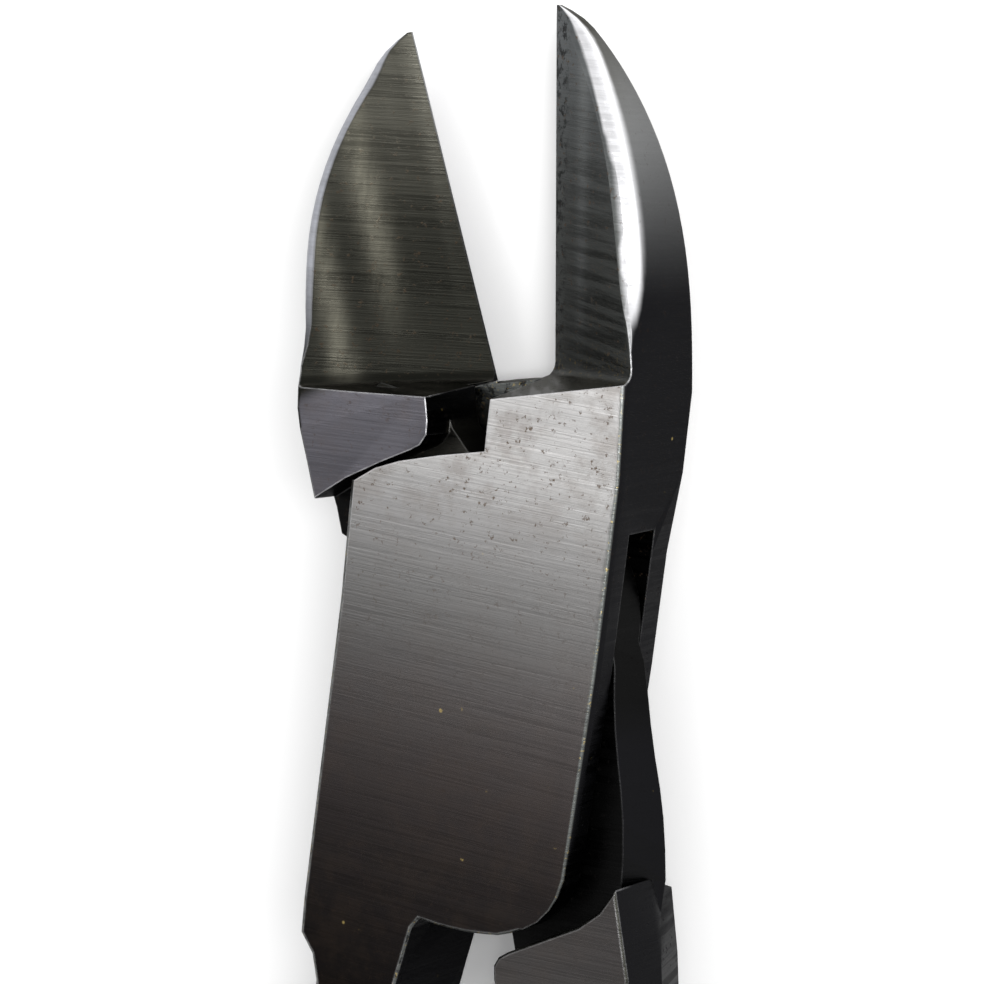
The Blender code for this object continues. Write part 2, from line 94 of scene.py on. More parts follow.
def spreadAt(distance):
    # a smooth curve through the half spreads
    table = handle["halfSpread"]
    i = 0
    while i < len(table) - 2 and distance > table[i + 1][0]:
        i += 1
    start, end = table[i], table[i + 1]
    before, after = table[max(i - 1, 0)], table[min(i + 2, len(table) - 1)]
    length = end[0] - start[0]
    t = (distance - start[0]) / length
    slopeIn = (end[1] - before[1]) / (end[0] - before[0]) * length
    slopeOut = (after[1] - start[1]) / (after[0] - start[0]) * length
    return ((2 * t ** 3 - 3 * t ** 2 + 1) * start[1] + (t ** 3 - 2 * t ** 2 + t) * slopeIn
            + (3 * t ** 2 - 2 * t ** 3) * end[1] + (t ** 3 - t ** 2) * slopeOut)


def handlePoint(side, distance):
    return Vector((-handle["lean"] * distance + side * spreadAt(distance), -distance))


def handleFrame(side, distance):
    # a point on the handle's line and the direction away from the other handle
    nearby = 0.2
    along = (handlePoint(side, distance + nearby) - handlePoint(side, distance - nearby)).normalized()
    return handlePoint(side, distance), Vector((-along.y, along.x)) * side


def newPiece(name, shape):
    mesh = bpy.data.meshes.new(name)
    bmesh.ops.recalc_face_normals(shape, faces=shape.faces)
    shape.to_mesh(mesh)
    shape.free()
    piece = bpy.data.objects.new(name, mesh)
    bpy.context.scene.collection.objects.link(piece)
    return piece


def loft(name, rings):
    # rings of points in mm, joined into one skin with closed ends
    shape = bmesh.new()
    rows = [[shape.verts.new(Vector(point) * mm) for point in ring] for ring in rings]
    for low, high in zip(rows, rows[1:]):
        for i in range(len(low)):
            j = (i + 1) % len(low)
            shape.faces.new((low[i], low[j], high[j], high[i]))
    shape.faces.new(rows[0][::-1])
    shape.faces.new(rows[-1])
    return newPiece(name, shape)


def smoothBy(piece, degrees):
    piece.data.shade_smooth()
    piece.data.set_sharp_from_angle(angle=math.radians(degrees))


def soften(piece, width, degrees):
    edge = piece.modifiers.new("soften", "BEVEL")
    edge.width = width * mm
    edge.segments = 2
    edge.limit_method = "ANGLE"
    edge.angle_limit = math.radians(degrees)


def attach(piece, body, node):
    if body:
        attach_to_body(piece, body)
    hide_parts(node)


def refined(name, node, body, dissolve):
    # a clean copy of a CAD node, ready for softened edges
    weldDistance, shortestEdge = 2e-6, 4e-6
    shape = bmesh.new()
    shape.from_mesh(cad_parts[node].data)
    bmesh.ops.remove_doubles(shape, verts=shape.verts, dist=weldDistance)
    bmesh.ops.dissolve_limit(shape, angle_limit=math.radians(dissolve), verts=shape.verts, edges=shape.edges)
    bmesh.ops.dissolve_degenerate(shape, edges=shape.edges, dist=shortestEdge)
    piece = newPiece(name, shape)
    attach(piece, body, node)
    return piece


def wear(piece, material):
    piece.data.materials.clear()
    piece.data.materials.append(material)


# nodes that several materials need
def newGroup(name, inputs, outputs):
    group = bpy.data.node_groups.new(name, "ShaderNodeTree")
    for label, kind, value in inputs:
        socket = group.interface.new_socket(label, in_out="INPUT", socket_type=kind)
        socket.default_value = value
    for label, kind in outputs:
        group.interface.new_socket(label, in_out="OUTPUT", socket_type=kind)
    return group, group.nodes.new("NodeGroupInput"), group.nodes.new("NodeGroupOutput")


def feed(tree, socket, value):
    # a number, a colour or the output of another node
    if isinstance(value, (int, float)):
        socket.default_value = value
    elif isinstance(value, tuple):
        socket.default_value = (*value, 1.0)
    else:
        tree.links.new(value, socket)


def sums(tree, operation, first, second=None):
    node = tree.nodes.new("ShaderNodeMath")
    node.operation = operation
    feed(tree, node.inputs[0], first)
    if second is not None:
        feed(tree, node.inputs[1], second)
    return node.outputs[0]


def plus(tree, first, second):
    return sums(tree, "ADD", first, second)


def times(tree, first, *others):
    for other in others:
        first = sums(tree, "MULTIPLY", first, other)
    return first


def span(tree, value, low, high, outLow=0.0, outHigh=1.0):
    # smooth step from low to high, which may also run downwards
    node = tree.nodes.new("ShaderNodeMapRange")
    node.interpolation_type = "SMOOTHSTEP"
    for socket, number in zip(node.inputs, (value, low, high, outLow, outHigh)):
        feed(tree, socket, number)
    return node.outputs[0]


def mixColour(tree, share, first, second, mode="MIX"):
    node = tree.nodes.new("ShaderNodeMix")
    node.data_type = "RGBA"
    node.blend_type = mode
    for socket, value in ((node.inputs[0], share), (node.inputs[6], first), (node.inputs[7], second)):
        feed(tree, socket, value)
    return node.outputs[2]


def ridge(tree, value, middle, width):
    # a soft band round one value
    away = sums(tree, "DIVIDE", sums(tree, "SUBTRACT", value, middle), width)
    return sums(tree, "EXPONENT", times(tree, away, away, -1.0))


def noiseField(tree, vector, scale, detail, roughness):
    node = tree.nodes.new("ShaderNodeTexNoise")
    node.inputs["Scale"].default_value = scale
    node.inputs["Detail"].default_value = detail
    node.inputs["Roughness"].default_value = roughness
    tree.links.new(vector, node.inputs["Vector"])
    return node.outputs[0]


def stretched(tree, vector, scale):
    node = tree.nodes.new("ShaderNodeMapping")
    node.inputs["Scale"].default_value = scale
    tree.links.new(vector, node.inputs["Vector"])
    return node.outputs[0]


def objectSpace(tree):
    # place in mm and the direction the surface faces, both in the part's own axes
    coords = tree.nodes.new("ShaderNodeTexCoord")
    where = stretched(tree, coords.outputs["Object"], (1 / mm, 1 / mm, 1 / mm))
    split = tree.nodes.new("ShaderNodeSeparateXYZ")
    tree.links.new(where, split.inputs[0])
    facing = tree.nodes.new("ShaderNodeSeparateXYZ")
    tree.links.new(coords.outputs["Normal"], facing.inputs[0])
    return where, split.outputs, facing.outputs


grindWheel = {"fine": (0.16, 9.0, 0.2), "coarse": (0.08, 2.6, 0.1), "fineShare": 0.62,
              "lines": (0.36, 0.64), "streaks": (0.4, 0.6)}


def buildGrindLines():
    # fine scratches left by a grinding wheel, long in one direction
    group, enter, leave = newGroup("grindLines", [("Place", "NodeSocketVector", (0, 0, 0)),
                                                  ("Angle", "NodeSocketFloat", 0.0)],
                                   [("Lines", "NodeSocketFloat"), ("Streaks", "NodeSocketFloat")])
    rotate = group.nodes.new("ShaderNodeVectorRotate")
    rotate.rotation_type = "Z_AXIS"
    group.links.new(enter.outputs["Place"], rotate.inputs["Vector"])
    group.links.new(enter.outputs["Angle"], rotate.inputs["Angle"])
    turned = rotate.outputs[0]
    fine = noiseField(group, stretched(group, turned, grindWheel["fine"]), 1.0, 4.0, 0.7)
    coarse = noiseField(group, stretched(group, turned, grindWheel["coarse"]), 1.0, 3.0, 0.6)
    both = plus(group, times(group, fine, grindWheel["fineShare"]),
                times(group, coarse, 1 - grindWheel["fineShare"]))
    group.links.new(span(group, both, *grindWheel["lines"]), leave.inputs["Lines"])
    group.links.new(span(group, coarse, *grindWheel["streaks"]), leave.inputs["Streaks"])
    return group


tarnish = {"pitSize": 3.4, "fewestPits": 0.72, "pitGain": 0.2, "pitEdge": 0.05,
           "cloudSize": 0.6, "stainGain": 0.4, "stain": (0.42, 0.66),
           "fleckSize": 0.85, "fleck": (0.1, 0.05), "fleckCloud": (0.57, 0.63)}


def buildPitting():
    # small dark pits, soft brown stains, and a few bright flecks
    group, enter, leave = newGroup("pitting", [("Place", "NodeSocketVector", (0, 0, 0)),
                                               ("Amount", "NodeSocketFloat", 0.5)],
                                   [("Pits", "NodeSocketFloat"), ("Stain", "NodeSocketFloat"),
                                    ("Flecks", "NodeSocketFloat")])
    where, amount = enter.outputs["Place"], enter.outputs["Amount"]
    spots = noiseField(group, where, tarnish["pitSize"], 5.0, 0.75)
    limit = sums(group, "SUBTRACT", tarnish["fewestPits"], times(group, amount, tarnish["pitGain"]))
    pits = span(group, spots, limit, plus(group, limit, tarnish["pitEdge"]))
    cloud = noiseField(group, where, tarnish["cloudSize"], 4.0, 0.65)
    stain = span(group, times(group, cloud, plus(group, amount, tarnish["stainGain"])), *tarnish["stain"])
    cells = group.nodes.new("ShaderNodeTexVoronoi")
    cells.inputs["Scale"].default_value = tarnish["fleckSize"]
    group.links.new(where, cells.inputs["Vector"])
    flecks = times(group, span(group, cells.outputs["Distance"], *tarnish["fleck"]),
                   span(group, cloud, *tarnish["fleckCloud"]))
    group.links.new(pits, leave.inputs["Pits"])
    group.links.new(stain, leave.inputs["Stain"])
    group.links.new(flecks, leave.inputs["Flecks"])
    return group


rubbing = {"samples": 6, "turn": (0.004, 0.05), "patchSize": 2.2, "patches": (0.3, 0.6, 0.35, 1.0)}


def buildEdgeWear():
    # where an edge has been rubbed bright
    group, enter, leave = newGroup("edgeWear", [("Place", "NodeSocketVector", (0, 0, 0)),
                                                ("Width", "NodeSocketFloat", 0.00012)],
                                   [("Edge", "NodeSocketFloat"), ("Normal", "NodeSocketVector")])
    rounded = group.nodes.new("ShaderNodeBevel")
    rounded.samples = rubbing["samples"]
    group.links.new(enter.outputs["Width"], rounded.inputs["Radius"])
    flat = group.nodes.new("ShaderNodeNewGeometry")
    dot = group.nodes.new("ShaderNodeVectorMath")
    dot.operation = "DOT_PRODUCT"
    group.links.new(rounded.outputs[0], dot.inputs[0])
    group.links.new(flat.outputs["Normal"], dot.inputs[1])
    broken = noiseField(group, enter.outputs["Place"], rubbing["patchSize"], 4.0, 0.7)
    turned = sums(group, "SUBTRACT", 1.0, dot.outputs["Value"])
    edge = times(group, span(group, turned, *rubbing["turn"]), span(group, broken, *rubbing["patches"]))
    group.links.new(edge, leave.inputs["Edge"])
    group.links.new(rounded.outputs[0], leave.inputs["Normal"])
    return group


groups = {"lines": buildGrindLines(), "pits": buildPitting(), "edge": buildEdgeWear()}


def addEffect(tree, key, **inputs):
    node = tree.nodes.new("ShaderNodeGroup")
    node.node_tree = groups[key]
    for label, value in inputs.items():
        feed(tree, node.inputs[label], value)
    return node.outputs


def newMaterial(name, metallic, roughness):
    material = bpy.data.materials.new(name)
    material.use_nodes = True
    shader = material.node_tree.nodes["Principled BSDF"]
    shader.inputs["Metallic"].default_value = metallic
    shader.inputs["Roughness"].default_value = roughness
    return material, material.node_tree, shader


def bump(tree, shader, height, strength, distance, normal):
    node = tree.nodes.new("ShaderNodeBump")
    node.inputs["Strength"].default_value = strength
    node.inputs["Distance"].default_value = distance
    tree.links.new(height, node.inputs["Height"])
    tree.links.new(normal, node.inputs["Normal"])
    tree.links.new(node.outputs[0], shader.inputs["Normal"])


# colours of the ground steel, shared by both halves
headSteel = {
    "plateBright": (1.0, 0.985, 0.975),
    "plateBrown": (1.0, 0.86, 0.84),
    # shoulder colours: painted shade on the lap half's level faces
    "shoulder": (0.105, 0.102, 0.116),
    "lowerShoulder": (0.06, 0.056, 0.055),
    "worn": (0.88, 0.88, 0.9),
    # side colours: painted shade, lighter at the tips and near black by the rivet
    "sideTip": (0.29, 0.295, 0.295),
    "sideDark": (0.008, 0.008, 0.009),
    "stain": (0.10, 0.065, 0.04),
    # near black for the painted shade between the layers and for the nicks, and a paler painted shade
    "shadeAndNickBlack": (0.006, 0.006, 0.006),
    "paleShade": (0.04, 0.039, 0.034),
    "wall": (0.055, 0.053, 0.044),
    "brass": (0.45, 0.34, 0.12),
    "edgeTint": (0.55, 0.55, 0.55),
}

# what differs between the halves; the side is 1 for the right jaw and -1 for the left
boxJaw = {
    "side": 1, "lineAngle": 0.1, "stainShare": 0.32, "pitShare": 1.0, "mottleLow": 0.6,
    "bevel": (0.098, 0.103, 0.099), "bevelTip": (0.12, 0.127, 0.13), "bevelHighlightBand": (0.19, 0.2, 0.2),
    # rim: painted highlight on the rounded rim, white on this jaw
    "rim": (0.9, 0.9, 0.92),
}
lapJaw = {
    "side": -1, "lineAngle": 0.04, "stainShare": 0.1, "pitShare": 0.3, "mottleLow": 0.3,
    "bevel": (0.0145, 0.0145, 0.012), "bevelTip": (0.072, 0.07, 0.058), "bevelHighlightBand": (0.125, 0.12, 0.095),
    # rim: painted highlight on the rounded rim, grey on this jaw
    "rim": (0.44, 0.45, 0.49),
}

# where each effect starts and where it is full: mm along x, y or z, or the slope of the face
steelZones = {
    "frontFace": (5.2, 5.6), "backFace": (0.8, 0.3), "levelFace": (0.93, 0.985), "sideFace": (0.62, 0.3),
    "brownerLower": (2.0, -9.0), "bevelToTip": (15.0, 25.0),
    "lapBandLength": (10.0, 20.0), "boxBandLength": (9.0, 17.0), "mottle": (0.2, 0.75),
    "nick": (0.5, 0.58), "nickReach": (1.0, 0.3), "filing": (0.6, 0.66), "filingReach": (12.8, 10.6),
    "sideLight": (13.5, 27.0), "rimFacing": (0.05, 0.2), "rimSlope": (0.2, 0.42), "rimLength": (9.5, 16.0),
    "shoulderChange": (1.0, 3.0), "wallFacing": (0.4, 0.8), "wallHeight": (7.2, 8.2),
    "buriedSlope": (0.25, 0.5), "buriedFront": (5.0, 4.6), "buriedBack": (0.5, 1.2), "buriedTop": (9.2, 8.4),
    "layerBack": (1.5, 1.7), "layerFront": (4.5, 4.3), "layerFoot": (-5.5, -3.0), "layerTop": (9.0, 7.8),
    "paleShadeHeight": (5.5, 7.5),
}
# how strongly each kind of wear shows, by (start, full, least, most) where it changes over the surface
steelFinish = {
    "pitAmount": 0.62, "edgeWidth": 0.00011, "streaks": (0.3, 0.7, 0.08, 0.33), "stains": (2.0, 8.0, 0.05),
    "pitsByHeight": (-2.0, 6.5, 0.06, 0.8), "pitsBySlope": (0.5, 0.7, 0.1), "cleanRim": 0.85,
    "flecks": 0.55, "rubbedFront": (4.4, 5.6, 0.05, 0.6), "rubbedTop": (-6.0, 7.0, 0.25, 1.0),
    "roughness": (0.0, 1.0, 0.30, 0.44), "pitRoughness": 0.25, "pitDepth": 1.6,
    "bumpStrength": 0.2, "bumpDistance": 0.00003,
    "nickSize": 2.3, "nicks": 0.8, "filingSize": 5.5, "filings": 0.5, "mottleStretch": (1.4, 0.25, 0.3),
}
# painted light: how the box plate's brightness falls off down and across the plate
paintedPlateLight = {"alongY": 0.165, "alongX": 0.03, "atPivot": 0.15, "brightest": 0.47}
# painted highlight bands on the hollow bevels, standing in for their reflections; the bands lean with the lap
# jaw; each is (middle, width), in mm across the bevel
bevelBands = {"leanX": 0.96, "leanY": 0.281, "lapInner": (-3.3, 0.55), "lapOuter": (-5.3, 0.45),
              "outerShare": 0.6, "box": (2.1, 0.5)}


def bevelColour(tree, jaw, where, x, y):
    # bevels: painted highlight bands along the jaw, standing in for the reflections on the hollow bevel
    zones = steelZones
    if jaw["side"] < 0:
        across = plus(tree, times(tree, x, bevelBands["leanX"]), times(tree, y, bevelBands["leanY"]))
        inner = times(tree, ridge(tree, across, *bevelBands["lapInner"]),
                      span(tree, y, *zones["lapBandLength"]))
        outer = times(tree, ridge(tree, across, *bevelBands["lapOuter"]), bevelBands["outerShare"])
        band = plus(tree, inner, outer)
    else:
        band = times(tree, ridge(tree, x, *bevelBands["box"]), span(tree, y, *zones["boxBandLength"]))
    mottled = noiseField(tree, stretched(tree, where, steelFinish["mottleStretch"]), 1.0, 4.0, 0.6)
    band = times(tree, band, span(tree, mottled, *zones["mottle"], jaw["mottleLow"], 1.0))
    ground = mixColour(tree, span(tree, y, *zones["bevelToTip"]), jaw["bevel"], jaw["bevelTip"])
    ground = mixColour(tree, band, ground, jaw["bevelHighlightBand"])
    if jaw["side"] > 0:
        # nicks along the cutting line, and brassy filings left at the foot of the bevel
        rough = noiseField(tree, where, steelFinish["nickSize"], 4.0, 0.7)
        nicks = times(tree, span(tree, rough, *zones["nick"]), span(tree, x, *zones["nickReach"]))
        ground = mixColour(tree, times(tree, nicks, steelFinish["nicks"]), ground, headSteel["shadeAndNickBlack"])
        grains = noiseField(tree, where, steelFinish["filingSize"], 3.0, 0.6)
        filings = times(tree, span(tree, grains, *zones["filing"]), span(tree, y, *zones["filingReach"]))
        ground = mixColour(tree, times(tree, filings, steelFinish["filings"]), ground, headSteel["brass"])
    return ground


def plateColour(tree, jaw, x, y):
    # front plate: painted light, bright at the top and darker towards the handles, standing in for the fading
    # reflection; also browner towards the handles
    zones = steelZones
    if jaw["side"] < 0:
        # painted shade: the lap half's level faces are kept dark, darker still below y 1 mm
        return mixColour(tree, span(tree, y, *zones["shoulderChange"]),
                         headSteel["lowerShoulder"], headSteel["shoulder"])
    # painted light: brightness falling off exponentially down the plate, capped at the top
    fall = plus(tree, times(tree, y, paintedPlateLight["alongY"]), times(tree, x, paintedPlateLight["alongX"]))
    bright = sums(tree, "MINIMUM", times(tree, sums(tree, "EXPONENT", fall), paintedPlateLight["atPivot"]),
                  paintedPlateLight["brightest"])
    tone = mixColour(tree, span(tree, y, *zones["brownerLower"]),
                     headSteel["plateBright"], headSteel["plateBrown"])
    return mixColour(tree, 1.0, tone, bright, "MULTIPLY")


def flankColour(tree, facing, y):
    # sides: painted shade, dull near the tips and nearly black by the rivet, standing in for the dark
    # reflections on the sides, with the wall of the notch a little lighter
    zones = steelZones
    flank = mixColour(tree, span(tree, y, *zones["sideLight"]), headSteel["sideDark"], headSteel["sideTip"])
    wall = times(tree, span(tree, facing[1], *zones["wallFacing"]), span(tree, y, *zones["wallHeight"]))
    return mixColour(tree, wall, flank, headSteel["wall"])


def buriedShadeShare(tree, jaw, up, y, z):
    # painted shade on the faces between the layers of the joint
    zones = steelZones
    buried = times(tree, span(tree, up, *zones["buriedSlope"]), span(tree, z, *zones["buriedFront"]),
                   span(tree, z, *zones["buriedBack"]), span(tree, y, *zones["buriedTop"]))
    if jaw["side"] > 0:
        return buried
    walls = times(tree, span(tree, z, *zones["layerBack"]), span(tree, z, *zones["layerFront"]),
                  span(tree, y, *zones["layerFoot"]), span(tree, y, *zones["layerTop"]))
    return sums(tree, "MAXIMUM", buried, walls)


def steelMaterial(name, jaw):
    look, zones, finish = headSteel, steelZones, steelFinish
    material, tree, shader = newMaterial(name, 1.0, 0.34)
    shader.inputs["Specular Tint"].default_value = (*look["edgeTint"], 1.0)
    where, (x, y, z), facing = objectSpace(tree)
    lines = addEffect(tree, "lines", Place=where, Angle=jaw["lineAngle"])
    pitted = addEffect(tree, "pits", Place=where, Amount=finish["pitAmount"])
    edge = addEffect(tree, "edge", Place=where, Width=finish["edgeWidth"])
    up = sums(tree, "ABSOLUTE", facing[2])
    level = sums(tree, "MAXIMUM", span(tree, z, *zones["frontFace"]), span(tree, z, *zones["backFace"]))
    flat = times(tree, span(tree, up, *zones["levelFace"]), level)
    # painted highlight along the rounded outer rim of each jaw
    outward = span(tree, times(tree, facing[0], jaw["side"]), *zones["rimFacing"])
    rim = times(tree, outward, span(tree, up, *zones["rimSlope"]), span(tree, y, *zones["rimLength"]))

    colour = mixColour(tree, flat, bevelColour(tree, jaw, where, x, y), plateColour(tree, jaw, x, y))
    # painted shade on the sides
    colour = mixColour(tree, span(tree, up, *zones["sideFace"]), colour, flankColour(tree, facing, y))
    colour = mixColour(tree, rim, colour, jaw["rim"])
    # painted shade: near black deep in the joint, a little lighter towards the jaws
    shadeAndNickBlack = mixColour(tree, span(tree, y, *zones["paleShadeHeight"]), look["shadeAndNickBlack"], look["paleShade"])
    colour = mixColour(tree, buriedShadeShare(tree, jaw, up, y, z), colour, shadeAndNickBlack)

    # scratches, stains, pits, flecks and rubbed edges over the whole surface
    streaked = mixColour(tree, 0.5, (1, 1, 1), lines["Lines"], "MULTIPLY")
    colour = mixColour(tree, span(tree, up, *finish["streaks"]), colour, streaked, "MULTIPLY")
    stained = times(tree, pitted["Stain"], flat, span(tree, y, *finish["stains"], jaw["stainShare"]))
    colour = mixColour(tree, stained, colour, look["stain"])
    # pits are kept off the painted rim highlight
    cleanRim = sums(tree, "SUBTRACT", 1.0, times(tree, rim, finish["cleanRim"]))
    dark = times(tree, pitted["Pits"], span(tree, y, *finish["pitsByHeight"]),
                 span(tree, up, *finish["pitsBySlope"], jaw["pitShare"]), cleanRim)
    colour = mixColour(tree, dark, colour, look["stain"])
    colour = mixColour(tree, times(tree, pitted["Flecks"], finish["flecks"]), colour, look["brass"])
    rubbed = times(tree, edge["Edge"], span(tree, z, *finish["rubbedFront"]),
                   span(tree, y, *finish["rubbedTop"]))
    colour = mixColour(tree, rubbed, colour, look["worn"])
    tree.links.new(colour, shader.inputs["Base Color"])
    polish = span(tree, lines["Streaks"], *finish["roughness"])
    roughness = plus(tree, polish, times(tree, pitted["Pits"], finish["pitRoughness"]))
    tree.links.new(roughness, shader.inputs["Roughness"])
    height = sums(tree, "SUBTRACT", lines["Lines"], times(tree, pitted["Pits"], finish["pitDepth"]))
    bump(tree, shader, height, finish["bumpStrength"], finish["bumpDistance"], edge["Normal"])
    return material


smallSteel = {"lineGlow": 1.7, "lineShare": 0.35, "worn": (0.75, 0.75, 0.77), "wornShare": 0.6}


def plainSteel(name, colour, low, high, angle):
    material, tree, shader = newMaterial(name, 1.0, 0.3)
    where = objectSpace(tree)[0]
    lines = addEffect(tree, "lines", Place=where, Angle=angle)
    edge = addEffect(tree, "edge", Place=where, Width=0.00008)
    bright = tuple(value * smallSteel["lineGlow"] for value in colour)
    shade = mixColour(tree, times(tree, lines["Lines"], smallSteel["lineShare"]), colour, bright)
    shade = mixColour(tree, times(tree, edge["Edge"], smallSteel["wornShare"]), shade, smallSteel["worn"])
    tree.links.new(shade, shader.inputs["Base Color"])
    tree.links.new(span(tree, lines["Streaks"], 0.0, 1.0, low, high), shader.inputs["Roughness"])
    bump(tree, shader, lines["Lines"], 0.2, 0.00002, edge["Normal"])
    return material


hardPlastic = {"colour": (0.012, 0.012, 0.0135), "worn": (0.08, 0.08, 0.085), "roughness": (0.34, 0.5),
               "grain": 4.0, "sheen": 0.0}
softPad = {"colour": (0.02, 0.055, 0.155), "worn": (0.08, 0.14, 0.28), "roughness": (0.6, 0.78),
           "grain": 2.6, "sheen": 0.12}
fading = {"glow": 1.35, "patchSize": 0.12, "patches": (0.35, 0.7), "grains": (0.3, 0.7), "wornShare": 0.35}


def gripMaterial(name, look):
    material, tree, shader = newMaterial(name, 0.0, 0.5)
    where = objectSpace(tree)[0]
    edge = addEffect(tree, "edge", Place=where, Width=0.0004)
    fine = noiseField(tree, where, look["grain"], 5.0, 0.6)
    soft = noiseField(tree, where, fading["patchSize"], 3.0, 0.5)
    faded = tuple(value * fading["glow"] for value in look["colour"])
    shade = mixColour(tree, span(tree, soft, *fading["patches"]), look["colour"], faded)
    shade = mixColour(tree, times(tree, edge["Edge"], fading["wornShare"]), shade, look["worn"])
    tree.links.new(shade, shader.inputs["Base Color"])
    tree.links.new(span(tree, fine, *fading["grains"], *look["roughness"]), shader.inputs["Roughness"])
    shader.inputs["Sheen Weight"].default_value = look["sheen"]
    bump(tree, shader, fine, 0.35, 0.00006, edge["Normal"])
    return material


boxLook = steelMaterial("boxSteel", boxJaw)
lapLook = steelMaterial("lapSteel", lapJaw)
rivetLook = plainSteel("rivetSteel", (0.33, 0.32, 0.31), 0.3, 0.42, 0.6)
springLook = plainSteel("springSteel", (0.30, 0.33, 0.38), 0.16, 0.28, 1.57)
screwLook = plainSteel("screwSteel", (0.09, 0.09, 0.095), 0.3, 0.42, 0.0)
coreLook = gripMaterial("hardPlastic", hardPlastic)
padLook = gripMaterial("softPad", softPad)
print("materials made")


# the two steel halves and their rivet; widths in mm, angles in degrees
steelPieces = {"edgeRadius": 0.07, "edgeAngle": 28, "smoothAngle": 24, "flatness": 0.4}
rivetShape = {"edgeRadius": 0.06, "edgeAngle": 30, "smoothAngle": 30, "flatness": 0.1}
for name, node, body, look, slotName, shape in (
        ("boxHalf", "box_half", boxSide, boxLook, "head_steel", steelPieces),
        ("lapHalf", "lap_half", lapSide, lapLook, "head_steel", steelPieces),
        ("pivotRivet", "pivot_rivet", boxSide, rivetLook, "rivet_steel", rivetShape)):
    piece = refined(name, node, body, shape["flatness"])
    smoothBy(piece, shape["smoothAngle"])
    soften(piece, shape["edgeRadius"], shape["edgeAngle"])
    wear(piece, look)
print("steel halves made")

# return springs and their screws, in mm
springs = {"thickness": 0.7, "gap": 0.3, "root": 27.0, "tip": 41.0, "tipGap": 0.2,
           "edgeRadius": 0.08, "edgeAngle": 40, "flatness": 0.05}
screws = {"at": 25.5, "shank": 0.8, "head": 1.5, "height": 0.8, "depth": 2.3, "socket": 0.62,
          "socketDepth": 0.5, "chamfer": 0.3, "steps": 48, "smoothAngle": 35}


def innerFace(side, distance, gap):
    # a point on the face that looks at the other handle, and the way it faces
    centre, outward = handleFrame(side, distance)
    narrow = 1 - handle["narrowing"] * ease((distance - handle["narrowFrom"]) / handle["narrowLength"])
    return centre - outward * (handle["shankWidth"] / 2 * narrow + gap), -outward


def addSpring(word):
    # a copy of the CAD leaf spring with softened edges, attached to neither handle
    leaf = refined(word + "LeafSpring", word + "_leaf_spring", None, springs["flatness"])
    smoothBy(leaf, springs["edgeAngle"])
    soften(leaf, springs["edgeRadius"], springs["edgeAngle"])
    wear(leaf, springLook)
    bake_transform(leaf)


def addScrew(side, word, body):
    look = screws
    seat = 2 * springs["gap"] + springs["thickness"]
    top = seat + look["height"]
    around = [2 * math.pi * i / look["steps"] for i in range(look["steps"])]
    sixth = math.pi / 3

    def hexagon(angle):
        return look["socket"] / math.cos((angle + sixth / 2) % sixth - sixth / 2)

    # (radius, height) from the point of the shank to the top of the domed head
    profile = [(look["shank"] * 0.7, -look["depth"]), (look["shank"], -look["depth"] + look["chamfer"]),
               (look["shank"], seat), (look["head"] * 0.97, seat), (look["head"], seat + 0.06),
               (look["head"], top - look["chamfer"]), (look["head"] * 0.96, top - 0.16),
               (look["head"] * 0.86, top - 0.04), (look["head"] * 0.74, top)]
    rings = [[(radius * math.cos(a), radius * math.sin(a), height) for a in around]
             for radius, height in profile]
    # the socket's rounded mouth, its wall and its floor
    for grow, height in ((1.12, top), (1.0, top - 0.08), (1.0, top - look["socketDepth"])):
        rings.append([(hexagon(a) * grow * math.cos(a), hexagon(a) * grow * math.sin(a), height)
                      for a in around])
    screw = loft(word + "SpringScrew", rings)
    spot, away = innerFace(side, look["at"], 0)
    turn = Vector((away.x, away.y, 0)).to_track_quat("Z", "Y").to_matrix().to_4x4()
    screw.data.transform(Matrix.Translation(Vector((spot.x, spot.y, midHeight)) * mm) @ turn)
    smoothBy(screw, look["smoothAngle"])
    wear(screw, screwLook)
    attach(screw, body, word + "_spring_screw")


for side, word, own, other in ((-1, "left", boxSide, lapSide), (1, "right", lapSide, boxSide)):
    addSpring(word)
    addScrew(side, word, own)
print("springs made")

# grips, in mm
grips = {"start": 31.0, "end": 98.0, "halfWidth": 4.6, "halfThickness": 4.2, "gap": 0.3,
         "guardAt": 3.0, "guardLength": 1.6, "guardWidth": 1.5, "guardHeight": 0.5,
         "palmStart": 38, "palmLength": 56, "palmWidth": 0.7, "palmHeight": 0.3,
         "endRound": 5, "endReach": 5.2, "mouthShare": 0.72, "mouthRound": 2.5, "squareness": 0.85}
mouthHole = {"deep": 3.0, "rim": 0.25, "halfWidth": 2.6, "halfHeight": 2.5, "flare": 0.15}
coreShape = {"around": 72, "along": 150, "bodyLength": 66.6, "groove": 36.6, "grooveDepth": 0.12,
             "grooveWidth": 0.35, "lipDepth": 0.18, "lipWidth": 0.3, "seamDepth": 0.07, "seamWidth": 0.045,
             "smoothAngle": 50}
pads = {"start": 38.0, "end": 93.0, "thickness": 1.3, "edge": 0.35, "reach": math.radians(78), "rows": 220,
        "columns": 40, "ribs": 13, "ribDepth": 0.3, "ribMargin": 0.14, "ribFade": 0.08, "smoothAngle": 45}


